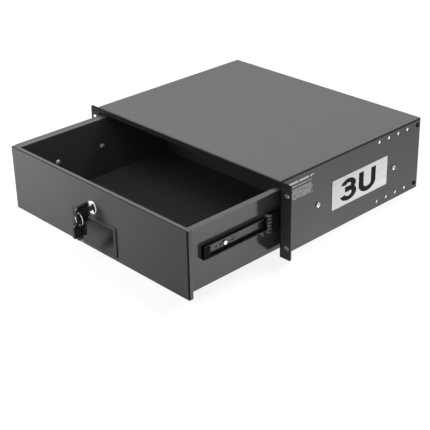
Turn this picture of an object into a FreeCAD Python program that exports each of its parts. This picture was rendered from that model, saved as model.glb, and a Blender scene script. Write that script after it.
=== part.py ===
import FreeCAD, Part
import math
import os

Vector = FreeCAD.Vector

# A 3U rack drawer for a 19 inch rack: a folded sheet cabinet with two ears, a locking drawer
# and a pair of three-section ball-bearing slides. All sizes are in millimetres.
# X runs to the right of someone facing the drawer, Y runs back into the rack, Z is up.
# Heights are measured up from the ears' lower edge and depths back from the face of the ears
# that meets the rack; the finished solids move down so that the origin is the middle of the slots.

# Cabinet
sheet = 1.5                 # steel of the cabinet
cabinet_width = 440.0
cabinet_depth = 347.0       # from the ears' front face to the rear edge
cabinet_height = 130.0
side_flange = 14.0          # top flange of a side, under the cover
lip_drop = 10.4             # front lip of the cover
bend = 1.2                  # inside radius of every fold

# Ears and their slots
ear_reach = 21.3            # past the cabinet's side: 482.6 over both ears
slot_out = 12.55            # slot centres past the cabinet's side: 465.1 apart
slot_rise = 88.9
slot_long = 10.0
slot_wide = 7.0
ear_round = 4.0

# Holes in the cabinet sides
row_inset = 10.0            # of the hole rows from the upper and lower edges
row_hole = 6.4
row_pitch = 25.0
row_count = 4
row_end = 34.5              # last hole from the rear edge
tie_inset = 8.0             # tie screws from the rear edge

# Rear ties
tie_flange = 12.0
tie_height = 19.0
tab_reach = 13.0

# Drawer
drawer_sheet = 1.2
front_sheet = 1.5
front_width = 434.0
front_bottom = 2.2
front_gap = 4.6             # between the cover's lip and the front
front_return = 8.0
drawer_depth = 333.0
flange_gap = 1.2            # between a drawer flange and the cabinet's side
wall_bend = 2.4
corner_gap = 0.4            # between a wall's lower corner and the bend beside it
return_gap = 0.3            # behind the returns of the front
drawer_open = 188.0         # how far the drawer stands out of the cabinet
rear_wall_drop = 6.0
rear_flange = 8.0

# Ball-bearing slides
slide_thick = 12.7
slide_height = 40.0
slide_centre = 63.0
slide_sheet = 1.1
ball = 4.0
race_play = 0.03
race_depth = 0.4
outer_length = 300.0
middle_length = 290.0
inner_length = 290.0
slide_setback = 35.5        # closed slides behind the ears' front face
inner_setback = 2.0         # inner member behind the others when closed
middle_space = 1.4          # between the webs of the outer and middle members
outer_ball_in = 5.6         # ball lines, from the cabinet's side inward
inner_ball_in = 8.8
race_edge = 2.2             # sheet past the centre of the last ball line
middle_open = 56.0          # how far the middle members stand out
cage_length = 130.0
cage_setback = 76.0         # cages behind the front of the closed slide
cage_sheet = 0.5
cage_strip = 0.8
balls_per_row = 5
ball_end = 9.0              # first ball from the end of its cage

# Screws
slide_screw = 4.0
slide_head = 8.0
slide_head_high = 2.6
slide_screw_pitch = 192.0
slide_screw_first = 49.5    # from the front of the outer member
slide_screw_drop = 3.0
drawer_screw_pitch = 96.0
drawer_screw_first = 44.5   # from the front of the inner member
spare_hole = 4.4            # unused holes in the inner member
spare_hole_pitch = 9.0
spare_slot_gap = 11.0
spare_slot_long = 8.0
drawer_screw_head = 7.0
drawer_screw_head_high = 2.0
drawer_screw_tail = 3.4
nut_across = 7.0
nut_high = 2.2
tie_head = 7.6
tie_head_high = 1.2
screw_play = 0.05

# Bumpers
inner_bumper_length = 11.0
inner_bumper_cap = 2.0
bumper_round = 2.0
bumper_play = 0.3
middle_bumper_length = 5.0
middle_bumper_cap = 2.0
bumper_skin = 1.5
passing_gap = 0.5           # between the inner member and what it slides through

# Handle
handle_width = 111.0
handle_height = 52.4
handle_bottom = 9.8
handle_proud = 2.0
handle_rim = 6.4            # at the sides
handle_rim_top = 6.0
handle_rim_low = 9.8
handle_depth = 25.0
handle_wall = 1.2
handle_round = 2.5
handle_flat = 14.0          # height of the deep part under the upper rim

# Lock and keys
lock_height = 78.0
bezel = 22.0
bezel_proud = 3.0
barrel = 18.6
barrel_flat = 16.0
barrel_long = 24.0
plug = 12.0
plug_play = 0.05
keyway_wide = 2.4
keyway_high = 8.0
key_tip_gap = 1.0           # between the key's tip and the end of the keyway
cam_long = 40.0
cam_wide = 14.0
cam_thick = 2.0
cam_gap = 0.4
nut_round = 25.0
lock_nut_high = 3.0
strike_wide = 30.0
strike_gap = 1.5
strike_drop = 20.0
key_play = 0.1
key_head_wide = 24.0
key_head_long = 25.0
key_head_thick = 5.0
key_head_round = 9.0
key_neck_wide = 9.0
key_neck_long = 5.0
key_neck_gap = 0.5          # between the neck and the lock when the key is in
key_blade_long = 19.0
key_hole = 5.0
key_hole_inset = 5.5
key_cuts = 4
key_cut_wide = 3.0
key_cut_deep = 1.6
ring_radius = 9.5
ring_wire = 0.8
hanging_gap = 0.3           # between the ring and the keys it hangs in and carries

# Plates on the right-hand side
plate_long = 140.0
plate_high = 52.0
plate_thick = 0.8
plate_front = 119.0         # behind the ears' front face
plate_bottom = 36.0
plate_round = 1.5
label_long = 62.0
label_high = 23.0
label_thick = 0.3
label_front = 14.5
label_bottom = 84.5

# Worked-out places
half = cabinet_width / 2
inner_half = half - sheet
front_face = -sheet
rear_edge = front_face + cabinet_depth
side_top = cabinet_height - sheet
origin_height = side_top / 2
drawer_half = inner_half - slide_thick
drawer_inside = drawer_half - drawer_sheet
drawer_seam = drawer_inside - wall_bend
drawer_top = cabinet_height - lip_drop - front_gap
tray_bottom = front_bottom + front_sheet
drawer_front_face = front_face - drawer_open
tray_front = drawer_front_face + front_sheet
tray_rear = drawer_front_face + drawer_depth
outer_front = front_face + slide_setback
middle_front = outer_front - middle_open
inner_front = outer_front + inner_setback - drawer_open
outer_cage_front = outer_front + cage_setback - middle_open / 2
inner_cage_front = outer_front + cage_setback - (drawer_open + middle_open) / 2
race = ball / 2 + race_play
race_face = race - race_depth
outer_ball_up = slide_height / 2 - race - slide_sheet
middle_up = outer_ball_up - race_face
inner_ball_up = middle_up - slide_sheet - race_face
inner_up = inner_ball_up - race_face
middle_in = slide_sheet + middle_space
inner_tip_in = inner_ball_in - race_edge
lock_axis = Vector(0, 0, lock_height)
handle_in = handle_width / 2 - handle_rim
handle_low = handle_bottom + handle_rim_low
handle_high = handle_bottom + handle_height - handle_rim_top
plug_front = drawer_front_face - bezel_proud
barrel_end = drawer_front_face + barrel_long
cam_front = barrel_end + cam_gap
key_neck_rear = plug_front - key_neck_gap
key_head_rear = key_neck_rear - key_neck_long
key_head_front = key_head_rear - key_head_long
key_hole_spot = Vector(0, key_head_front + key_hole_inset, lock_height)
ring_sag = ring_radius - math.sqrt(ring_radius ** 2 - (key_head_thick / 2) ** 2)
ring_drop = key_hole / 2 - ring_wire - ring_sag - hanging_gap
ring_top = key_hole_spot - Vector(0, 0, ring_drop)
ring_bottom = ring_top - Vector(0, 0, 2 * ring_radius)


def box(low, high):
    size = Vector(*high) - Vector(*low)
    return Part.makeBox(size.x, size.y, size.z, Vector(*low))


def rod(radius, start, end):
    start = Vector(*start)
    along = Vector(*end) - start
    return Part.makeCylinder(radius, along.Length, start, along)


def place(plane, a, b, depth):
    """Turn a flat point of a plane named XY, XZ or YZ into space, at a depth across that plane."""
    return {"XY": Vector(a, b, depth), "XZ": Vector(a, depth, b), "YZ": Vector(depth, a, b)}[plane]


def rounded_outline(points, radii):
    """Edges, in flat coordinates, of a closed outline whose corners have the given radii."""
    stretches = []
    count = len(points)
    for i in range(count):
        corner = Vector(*points[i], 0)
        before = (Vector(*points[i - 1], 0) - corner).normalize()
        after = (Vector(*points[(i + 1) % count], 0) - corner).normalize()
        radius = radii[i]
        if radius <= 0:
            stretches.append([corner])
            continue
        opening = before.getAngle(after)
        setback = radius / math.tan(opening / 2)
        middle = (before + after).normalize() * (radius / math.sin(opening / 2) - radius)
        stretches.append([corner + before * setback, corner + middle, corner + after * setback])
    return stretches


def prism(plane, points, radii, start, end):
    """A solid of constant section: an outline on a plane, drawn from one depth to another."""
    if not isinstance(radii, (list, tuple)):
        radii = [radii] * len(points)
    stretches = rounded_outline(points, radii)
    edges = []
    for i, stretch in enumerate(stretches):
        spots = [place(plane, p.x, p.y, start) for p in stretch]
        following = stretches[(i + 1) % len(stretches)][0]
        if len(spots) == 3:
            edges.append(Part.Arc(*spots).toShape())
        goal = place(plane, following.x, following.y, start)
        if spots[-1].distanceToPoint(goal) > 1e-6:
            edges.append(Part.LineSegment(spots[-1], goal).toShape())
    face = Part.Face(Part.Wire(edges))
    return face.extrude(place(plane, 0, 0, end) - place(plane, 0, 0, start))


def rectangle(left, low, right, high):
    return [(left, low), (right, low), (right, high), (left, high)]


def folded(plane, path, thick, inside, start, end):
    """A folded sheet. The path is its right-hand face and the sheet lies to the left of it."""
    spots = [Vector(*p, 0) for p in path]
    ways = [(b - a).normalize() for a, b in zip(spots, spots[1:])]
    lefts = [Vector(-w.y, w.x, 0) for w in ways]
    far = [spots[0] + lefts[0] * thick]
    near_radii = [0]
    far_radii = [0]
    for i in range(1, len(spots) - 1):
        middle = (lefts[i - 1] + lefts[i]).normalize()
        far.append(spots[i] + middle * (thick / middle.dot(lefts[i])))
        turns_left = ways[i - 1].cross(ways[i]).z > 0
        near_radii.append(inside + thick if turns_left else inside)
        far_radii.append(inside if turns_left else inside + thick)
    far.append(spots[-1] + lefts[-1] * thick)
    near_radii.append(0)
    far_radii.append(0)
    points = [(p.x, p.y) for p in spots + far[::-1]]
    return prism(plane, points, near_radii + far_radii[::-1], start, end)


def mirrored(shape):
    return shape.mirror(Vector(0, 0, 0), Vector(1, 0, 0))


def one_solid(shape):
    clean = shape.removeSplitter()
    return clean.Solids[0] if len(clean.Solids) == 1 else clean


# Cabinet ---------------------------------------------------------------------------------

def row_depths():
    last = rear_edge - row_end
    return [last - i * row_pitch for i in range(row_count)]


def side_screw_depths():
    first = outer_front + slide_screw_first
    return [first, first + slide_screw_pitch]


def side_panel():
    """Right-hand side: one sheet with a flange under the cover and an ear folded out in front."""
    wall = folded("XZ", [(half, 0), (half, side_top), (half - side_flange, side_top)],
                  sheet, bend, front_face, rear_edge)
    ear = prism("XZ", rectangle(inner_half, 0, half + ear_reach, side_top),
                [0, ear_round, ear_round, 0], front_face, 0)
    notch = box((half - side_flange - 1, front_face - 1, side_top - lip_drop),
                (inner_half, sheet, side_top + 1))
    panel = wall.cut(notch).fuse(ear)
    for height in (row_inset, side_top - row_inset):
        for depth in row_depths():
            hole = rod(row_hole / 2, (inner_half - 1, depth, height), (half + 1, depth, height))
            panel = panel.cut(hole)
        tie = rear_edge - tie_inset
        radius = slide_screw / 2 + screw_play
        panel = panel.cut(rod(radius, (inner_half - 1, tie, height), (half + 1, tie, height)))
    height = slide_centre - slide_screw_drop
    for depth in side_screw_depths():
        radius = slide_screw / 2 + screw_play
        panel = panel.cut(rod(radius, (inner_half - 1, depth, height), (half + 1, depth, height)))
    for height in (origin_height - slot_rise / 2, origin_height + slot_rise / 2):
        slot = rectangle(half + slot_out - slot_long / 2, height - slot_wide / 2,
                         half + slot_out + slot_long / 2, height + slot_wide / 2)
        panel = panel.cut(prism("XZ", slot, slot_wide / 2 - 0.01, front_face - 1, 1))
    return one_solid(panel)


def top_cover():
    """Flat cover with a lip folded down in front, between the sides."""
    path = [(rear_edge, cabinet_height), (front_face, cabinet_height),
            (front_face, cabinet_height - lip_drop)]
    folds = folded("YZ", path, sheet, bend, -half, half)
    for side in (-1, 1):
        inner = side * (inner_half - 0.3)
        outer = side * (half + 1)
        ends = box((min(inner, outer), front_face - 1, cabinet_height - lip_drop - 1),
                   (max(inner, outer), bend + sheet, side_top))
        folds = folds.cut(ends)
    return one_solid(folds)


def rear_tie(height, flange_side):
    """Cross tie at a hole height: a web, a flange and tabs that are screwed to the sides."""
    low = max(0, height - tie_height / 2)
    high = min(side_top - sheet - bend, height + tie_height / 2)
    flange_low = low if flange_side < 0 else high - sheet
    tie = box((-inner_half, rear_edge - sheet, low), (inner_half, rear_edge, high))
    tie = tie.fuse(box((-inner_half, rear_edge - tie_flange, flange_low),
                       (inner_half, rear_edge - sheet, flange_low + sheet)))
    depth = rear_edge - tie_inset
    for side in (-1, 1):
        left, right = sorted((side * (inner_half - sheet), side * inner_half))
        tie = tie.fuse(box((left, rear_edge - tab_reach, low), (right, rear_edge - sheet, high)))
        tie = tie.cut(rod(slide_screw / 2 + screw_play, (left - 1, depth, height),
                          (right + 1, depth, height)))
    return one_solid(tie)


def pan_screw(head, head_high, shank_radius, seat, height, depth, tip):
    """A screw along X: a domed head on the seat and a shank that ends at the tip."""
    out = 1 if tip < seat else -1
    top = seat + out * head_high
    dome = rod(head / 2, (seat, depth, height), (top, depth, height))
    rim = [e for e in dome.Edges if abs(e.BoundBox.Center.x - top) < 1e-6 and e.Closed]
    dome = dome.makeFillet(head_high * 0.6, rim)
    return dome.fuse(rod(shank_radius, (seat, depth, height), (tip, depth, height)))


def tie_screws():
    screws = []
    for height in (row_inset, side_top - row_inset):
        screws.append(pan_screw(tie_head, tie_head_high, slide_screw / 2, half, height,
                                rear_edge - tie_inset, inner_half - 2 * sheet))
    return Part.makeCompound(screws)


def outer_screws():
    tip = inner_half - slide_sheet
    height = slide_centre - slide_screw_drop
    screws = [pan_screw(slide_head, slide_head_high, slide_screw / 2, half, height, depth, tip)
              for depth in side_screw_depths()]
    return Part.makeCompound(screws)


def lock_strike():
    """Angle under the cover: its tongue hangs into the path of the raised cam."""
    back = cam_front + drawer_open - strike_gap
    path = [(back - strike_drop / 2 - sheet, side_top), (back, side_top),
            (back, side_top - strike_drop)]
    return folded("YZ", path[::-1], sheet, bend, -strike_wide / 2, strike_wide / 2)


def size_plate():
    low = front_face + plate_front
    corners = rectangle(low, plate_bottom, low + plate_long, plate_bottom + plate_high)
    return prism("YZ", corners, plate_round, half, half + plate_thick)


def data_label():
    low = front_face + label_front
    corners = rectangle(low, label_bottom, low + label_long, label_bottom + label_high)
    return prism("YZ", corners, plate_round, half, half + label_thick)


# Slides, drawn for the right-hand side ------------------------------------------------------

def across(inward):
    return inner_half - inward


def strip(low_in, high_in, low_up, high_up, front, length):
    """A strip of a slide member above and below the slide's centre line."""
    parts = []
    for side in (-1, 1):
        near = slide_centre + side * low_up
        far = slide_centre + side * high_up
        parts.append(box((across(high_in), front, min(near, far)),
                         (across(low_in), front + length, max(near, far))))
    return parts


def ball_lines(inward, up, radius, front, length):
    return [rod(radius, (across(inward), front, slide_centre + side * up),
                (across(inward), front + length, slide_centre + side * up)) for side in (-1, 1)]


def channel(web_in, tip_in, face_up, sheet_inward, front, length):
    """A channel of slide sheet: a web and two flanges whose outer faces are at face_up."""
    web_low, web_high = sorted((web_in, web_in + sheet_inward * slide_sheet))
    reach_low, reach_high = sorted((web_in, tip_in))
    body = box((across(web_high), front, slide_centre - face_up),
               (across(web_low), front + length, slide_centre + face_up))
    flanges = strip(reach_low, reach_high, face_up - slide_sheet, face_up, front, length)
    return body.multiFuse(flanges)


def bulge(inward, up, side_of_face, front, length):
    """Sheet pressed round a ball line, kept to one side of the flange's far face."""
    swell = ball_lines(inward, up, race + slide_sheet, front, length)
    limit = up + side_of_face * race_face
    far = up + side_of_face * (race + slide_sheet + 1)
    keep = strip(0, slide_thick, min(limit, far), max(limit, far), front, length)
    return [s.common(k) for s, k in zip(swell, keep)]


def outer_member():
    face_up = outer_ball_up + race_face + slide_sheet
    member = channel(0, outer_ball_in + race_edge, face_up, 1, outer_front, outer_length)
    member = member.multiFuse(bulge(outer_ball_in, outer_ball_up, 1, outer_front, outer_length))
    member = member.cut(Part.makeCompound(
        ball_lines(outer_ball_in, outer_ball_up, race, outer_front, outer_length)))
    for depth in side_screw_depths():
        height = slide_centre - slide_screw_drop
        member = member.cut(rod(slide_screw / 2 + screw_play, (across(-1), depth, height),
                                (across(middle_in), depth, height)))
    return one_solid(member)


def middle_member():
    member = channel(middle_in, inner_ball_in + race_edge, middle_up, 1, middle_front, middle_length)
    member = member.multiFuse(bulge(outer_ball_in, outer_ball_up, -1, middle_front, middle_length)
                              + bulge(inner_ball_in, inner_ball_up, 1, middle_front, middle_length))
    grooves = (ball_lines(outer_ball_in, outer_ball_up, race, middle_front, middle_length)
               + ball_lines(inner_ball_in, inner_ball_up, race, middle_front, middle_length))
    return one_solid(member.cut(Part.makeCompound(grooves)))


def drawer_screw_depths():
    first = inner_front + drawer_screw_first
    return [first, first + drawer_screw_pitch]


def inner_member():
    member = channel(slide_thick, inner_tip_in, inner_up, -1, inner_front, inner_length)
    member = member.multiFuse(bulge(inner_ball_in, inner_ball_up, -1, inner_front, inner_length))
    member = member.cut(Part.makeCompound(
        ball_lines(inner_ball_in, inner_ball_up, race, inner_front, inner_length)))
    web_out = across(slide_thick) - 1
    web_in = across(slide_thick) + slide_sheet + 1
    for depth in drawer_screw_depths():
        member = member.cut(rod(slide_screw / 2 + screw_play, (web_out, depth, slide_centre),
                                (web_in, depth, slide_centre)))
        for i in (1, 2):
            spare = depth - i * spare_hole_pitch
            member = member.cut(rod(spare_hole / 2, (web_out, spare, slide_centre),
                                    (web_in, spare, slide_centre)))
        slot_front = depth + spare_slot_gap
        slot = rectangle(slot_front, slide_centre - spare_hole / 2,
                         slot_front + spare_slot_long, slide_centre + spare_hole / 2)
        member = member.cut(prism("YZ", slot, spare_hole / 2 - 0.01, web_out, web_in))
    return one_solid(member)


def cage(ball_in, ball_up, web_in, front):
    """Ball retainer: a thin web with a strip above and below, each pierced for its balls."""
    tip = ball_in + race_edge
    up = ball_up + cage_strip / 2
    body = box((across(web_in + cage_sheet), front, slide_centre - up),
               (across(web_in), front + cage_length, slide_centre + up))
    strips = strip(web_in, tip, ball_up - cage_strip / 2, up, front, cage_length)
    body = body.multiFuse(strips)
    for spot in ball_spots(ball_in, ball_up, front):
        side = 1 if spot.z > slide_centre else -1
        body = body.cut(rod(ball / 2 + 2 * race_play, spot - Vector(0, 0, 2 * cage_strip),
                            spot + Vector(0, 0, 2 * cage_strip)))
    return one_solid(body)


def ball_spots(ball_in, ball_up, front):
    pitch = (cage_length - 2 * ball_end) / (balls_per_row - 1)
    return [Vector(across(ball_in), front + ball_end + i * pitch, slide_centre + side * ball_up)
            for side in (-1, 1) for i in range(balls_per_row)]


def balls(ball_in, ball_up, front):
    return Part.makeCompound([Part.makeSphere(ball / 2, s) for s in ball_spots(ball_in, ball_up, front)])


def outer_cage_web():
    return slide_sheet + (middle_space - cage_sheet) / 2


def inner_cage_web():
    return middle_in + slide_sheet + (inner_tip_in - middle_in - slide_sheet - cage_sheet) / 2


def inner_bumper():
    """Moulded block that fills the front end of the inner member and stops it when closed."""
    up = inner_ball_up - race - slide_sheet - bumper_play
    left = across(slide_thick - slide_sheet)
    right = across(inner_tip_in)
    block = prism("XZ", rectangle(left, slide_centre - up, right - bumper_play, slide_centre + up),
                  [0, bumper_round, bumper_round, 0], inner_front, inner_front + inner_bumper_length)
    face = prism("XZ", rectangle(left, slide_centre - inner_up, right, slide_centre + inner_up),
                 [0, bumper_round, bumper_round, 0], inner_front - inner_bumper_cap, inner_front)
    return one_solid(block.fuse(face))


def middle_bumper():
    """Moulded cap on the front end of the middle member, with a tongue along its web."""
    web = middle_in + slide_sheet
    rear = middle_front + middle_bumper_length
    cap_front = middle_front - middle_bumper_cap
    up = inner_ball_up - ball / 2 - cage_strip
    tongue = prism("YZ", rectangle(cap_front, slide_centre - up, rear, slide_centre + up),
                   [0, bumper_round, bumper_round, 0], across(web + bumper_skin), across(web))
    left = across(inner_ball_in + race_edge)
    right = across(middle_in)
    cap = prism("XZ", rectangle(left, slide_centre - middle_up, right, slide_centre + middle_up),
                [bumper_round, 0, 0, bumper_round], cap_front, middle_front)
    window_up = inner_up + passing_gap
    window = box((left - 1, cap_front - 1, slide_centre - window_up),
                 (across(inner_tip_in - passing_gap), middle_front + 1, slide_centre + window_up))
    return one_solid(cap.cut(window).fuse(tongue))


def drawer_screws():
    seat = across(slide_thick) + slide_sheet
    tip = drawer_inside - drawer_screw_tail
    screws = [pan_screw(drawer_screw_head, drawer_screw_head_high, slide_screw / 2, seat,
                        slide_centre, depth, tip) for depth in drawer_screw_depths()]
    return Part.makeCompound(screws)


def drawer_nuts():
    nuts = []
    for depth in drawer_screw_depths():
        ring = []
        for i in range(6):
            turn = math.radians(60 * i)
            reach = nut_across / 2 / math.cos(math.radians(30))
            ring.append((depth + reach * math.cos(turn), slide_centre + reach * math.sin(turn)))
        nut = prism("YZ", ring, 0, drawer_inside - nut_high, drawer_inside)
        nuts.append(nut.cut(rod(slide_screw / 2 + screw_play,
                                (drawer_inside - nut_high - 1, depth, slide_centre),
                                (drawer_inside + 1, depth, slide_centre))))
    return Part.makeCompound(nuts)


# Drawer ------------------------------------------------------------------------------------

def handle_opening(margin, front, rear):
    return prism("XZ", rectangle(-handle_in - margin, handle_low - margin,
                                 handle_in + margin, handle_high + margin), 0, front, rear)


def lock_opening(front, rear):
    round_hole = rod(barrel / 2 + 0.2, (0, front, lock_height), (0, rear, lock_height))
    flat = barrel_flat / 2 + 0.2
    return round_hole.common(box((-flat, front, 0), (flat, rear, cabinet_height)))


def drawer_tray():
    """Floor sheet, up to where the bends of the sides begin."""
    return box((-drawer_seam, tray_front, tray_bottom),
               (drawer_seam, tray_rear, tray_bottom + drawer_sheet))


def drawer_side():
    """Right-hand side: bend from the floor, wall, and a flange turned out over the slide."""
    path = [(drawer_seam, tray_bottom + drawer_sheet), (drawer_inside, tray_bottom + drawer_sheet),
            (drawer_inside, drawer_top), (inner_half - flange_gap, drawer_top)]
    side = folded("XZ", path[::-1], drawer_sheet, wall_bend, tray_front, tray_rear)
    return_end = drawer_front_face + front_return
    side = side.cut(box((0, tray_front - 1, drawer_top - front_sheet - drawer_sheet),
                        (half, return_end + 1, drawer_top + 1)))
    side = side.cut(box((drawer_half, tray_front - 1, front_bottom),
                        (half, return_end + return_gap, drawer_top + 1)))
    for depth in drawer_screw_depths():
        side = side.cut(rod(slide_screw / 2 + screw_play, (drawer_inside - 1, depth, slide_centre),
                            (drawer_half + 1, depth, slide_centre)))
    return one_solid(side)


def between_sides(top):
    """Outline of a wall that stands on the floor, its lower corners clear of the sides' bends."""
    corner = wall_bend + corner_gap
    return prism("XZ", rectangle(-drawer_inside, tray_bottom + drawer_sheet, drawer_inside, top),
                 [corner, corner, 0, 0], tray_front, tray_rear)


def drawer_front_wall():
    back = tray_front + drawer_sheet
    wall = between_sides(drawer_top - front_sheet).common(box((-half, tray_front, 0),
                                                              (half, back, cabinet_height)))
    wall = wall.cut(handle_opening(handle_wall + 0.4, tray_front - 1, back + 1))
    return one_solid(wall.cut(lock_opening(tray_front - 1, back + 1)))


def drawer_back():
    """Rear wall with a stiffening flange along its upper edge."""
    top = drawer_top - rear_wall_drop
    inner = tray_rear - drawer_sheet
    path = [(inner, tray_bottom + drawer_sheet), (inner, top), (inner - rear_flange, top)]
    wall = folded("YZ", path[::-1], drawer_sheet, bend, -drawer_inside, drawer_inside)
    return one_solid(wall.common(between_sides(top)))


def drawer_front():
    """Front panel: a shallow pan with its edges folded back round the tray."""
    width = front_width / 2
    outside = bend + front_sheet
    pan = prism("XY", [(-width, drawer_front_face), (width, drawer_front_face),
                       (width, drawer_front_face + front_return),
                       (-width, drawer_front_face + front_return)],
                [outside, outside, 0, 0], front_bottom, drawer_top)
    hollow = prism("XY", [(-width + front_sheet, drawer_front_face + front_sheet),
                          (width - front_sheet, drawer_front_face + front_sheet),
                          (width - front_sheet, drawer_front_face + front_return + 1),
                          (-width + front_sheet, drawer_front_face + front_return + 1)],
                   [bend, bend, 0, 0], front_bottom + front_sheet, drawer_top - front_sheet)
    panel = pan.cut(hollow)
    front_edges = [e for e in panel.Edges
                   if abs(e.BoundBox.YMax - drawer_front_face) < 1e-6 and e.BoundBox.XLength > width]
    panel = panel.makeFillet(bend, front_edges)
    panel = panel.cut(handle_opening(handle_wall + 0.2, drawer_front_face - 1, tray_front + 1))
    panel = panel.cut(lock_opening(drawer_front_face - 1, tray_front + 1))
    return one_solid(panel)


def handle_floor(depth):
    """Height of the pocket's sloping floor at a depth."""
    rise = (handle_high - handle_flat - handle_low) / handle_depth
    return handle_low + (depth - drawer_front_face) * rise


def handle_cup():
    """Recessed pull: a raised rim round a pocket whose floor slopes in and up from the lower lip."""
    rim_front = drawer_front_face - handle_proud
    back = drawer_front_face + handle_depth
    shell_back = back + handle_wall
    rim = prism("XZ", rectangle(-handle_width / 2, handle_bottom, handle_width / 2,
                                handle_bottom + handle_height), handle_round, rim_front,
                drawer_front_face)
    edge = [e for e in rim.Edges if abs(e.BoundBox.YMax - rim_front) < 1e-6]
    rim = rim.makeFillet(handle_proud * 0.45, edge)
    shell = [(drawer_front_face, handle_low - handle_wall), (shell_back, handle_floor(back) - handle_wall),
             (shell_back, handle_high + handle_wall), (drawer_front_face, handle_high + handle_wall)]
    body = prism("YZ", shell, [0, handle_round, handle_round, 0],
                 -handle_in - handle_wall, handle_in + handle_wall)
    outside = rim_front - 1
    pocket = [(outside, handle_floor(outside)), (back, handle_floor(back)), (back, handle_high),
              (outside, handle_high)]
    cup = rim.fuse(body).cut(prism("YZ", pocket, [0, handle_round, handle_round, 0],
                                   -handle_in, handle_in))
    lip = [e for e in cup.Edges if abs(e.BoundBox.YMax - rim_front) < 1e-6
           and abs(e.BoundBox.ZMax - handle_floor(rim_front)) < 1e-6]
    return one_solid(cup.makeFillet(handle_proud, lip))


def lock_body():
    """Chrome bezel and threaded barrel with two flats, bored for the plug."""
    disc = rod(bezel / 2, (0, drawer_front_face, lock_height), (0, plug_front, lock_height))
    edge = [e for e in disc.Edges if abs(e.BoundBox.Center.y - plug_front) < 1e-6 and e.Closed]
    disc = disc.makeFillet(bezel_proud * 0.5, edge)
    tube = rod(barrel / 2, (0, drawer_front_face, lock_height), (0, barrel_end, lock_height))
    flat = barrel_flat / 2
    tube = tube.common(box((-flat, drawer_front_face, 0), (flat, barrel_end, cabinet_height)))
    bore = rod(plug / 2 + plug_play, (0, plug_front - 1, lock_height), (0, barrel_end + 1, lock_height))
    return one_solid(disc.fuse(tube).cut(bore))


def lock_nut():
    front = tray_front + drawer_sheet
    nut = rod(nut_round / 2, (0, front, lock_height), (0, front + lock_nut_high, lock_height))
    for i in range(6):
        notch = rod(1.5, (0, front - 1, lock_height + nut_round / 2),
                    (0, front + lock_nut_high + 1, lock_height + nut_round / 2))
        notch.rotate(lock_axis, Vector(0, 1, 0), 60 * i)
        nut = nut.cut(notch)
    hole = rod(barrel / 2 + screw_play, (0, front - 1, lock_height),
               (0, front + lock_nut_high + 1, lock_height))
    return one_solid(nut.cut(hole))


def lock_plug():
    core = rod(plug / 2, (0, plug_front, lock_height), (0, cam_front, lock_height))
    tail = cam_wide / 4
    square = box((-tail, cam_front, lock_height - tail), (tail, cam_front + cam_thick, lock_height + tail))
    keyway = box((-keyway_wide / 2, plug_front - 1, lock_height - keyway_high / 2),
                 (keyway_wide / 2, key_neck_rear + key_blade_long + key_tip_gap,
                  lock_height + keyway_high / 2))
    return one_solid(core.fuse(square).cut(keyway))


def lock_cam():
    wide = cam_wide / 2
    plate = prism("XZ", rectangle(-wide, lock_height - wide, cam_long, lock_height + wide),
                  [wide - 0.01, 3, 3, wide - 0.01], cam_front, cam_front + cam_thick)
    tail = cam_wide / 4 + screw_play
    square = box((-tail, cam_front - 1, lock_height - tail), (tail, cam_front + cam_thick + 1,
                                                            lock_height + tail))
    return one_solid(plate.cut(square))


def cam_screw():
    front = cam_front + cam_thick
    return rod(cam_wide * 0.36, (0, front, lock_height), (0, front + 2.2, lock_height))


def key_head():
    """Moulded head of a key at the lock: round at its outer end, with a hole, and a stepped neck."""
    half_wide = key_head_wide / 2
    outer = rectangle(key_head_front, lock_height - half_wide, key_head_rear, lock_height + half_wide)
    head = prism("YZ", outer, [key_head_round, 1.5, 1.5, key_head_round],
                 -key_head_thick / 2, key_head_thick / 2)
    neck = box((-key_head_thick / 2, key_head_rear, lock_height - key_neck_wide / 2),
               (key_head_thick / 2, key_neck_rear, lock_height + key_neck_wide / 2))
    hole = rod(key_hole / 2, key_hole_spot - Vector(key_head_thick, 0, 0),
               key_hole_spot + Vector(key_head_thick, 0, 0))
    return one_solid(head.fuse(neck).cut(hole))


def key_blade():
    """Flat blade with a pointed tip and cuts along one edge."""
    up = keyway_high / 2 - key_play
    thick = keyway_wide / 2 - key_play
    end = key_neck_rear + key_blade_long
    outline = [(key_neck_rear, lock_height - up), (end - up, lock_height - up), (end, lock_height),
               (end - up / 2, lock_height + up), (key_neck_rear, lock_height + up)]
    blade = prism("YZ", outline, 0, -thick, thick)
    for i in range(key_cuts):
        depth = end - up - key_cut_wide * (i + 1)
        notch = [(depth - key_cut_wide / 2, lock_height - up), (depth, lock_height - up + key_cut_deep),
                 (depth + key_cut_wide / 2, lock_height - up)]
        blade = blade.cut(prism("YZ", notch, 0, -thick - 1, thick + 1))
    return one_solid(blade)


def key_ring():
    return Part.makeTorus(ring_radius, ring_wire, ring_top - Vector(0, 0, ring_radius), Vector(0, 1, 0))


def hanging(shape):
    """The same piece of the second key, which hangs blade down in the bottom of the ring."""
    spare = shape.copy()
    spare.rotate(key_hole_spot, Vector(1, 0, 0), -90)
    spare.translate(ring_bottom - Vector(0, 0, ring_drop) - key_hole_spot)
    return spare


def export_all(nodes):
    os.makedirs("parts", exist_ok=True)
    for name, shape in nodes.items():
        shape = shape.copy()
        shape.translate(Vector(0, 0, -origin_height))
        if not shape.isValid():
            print("not valid:", name)
        shape.exportStep("parts/" + name + ".step")
        print(f"{name:26s} solids {len(shape.Solids)}  volume {shape.Volume / 1000:9.2f} cm3")


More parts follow.
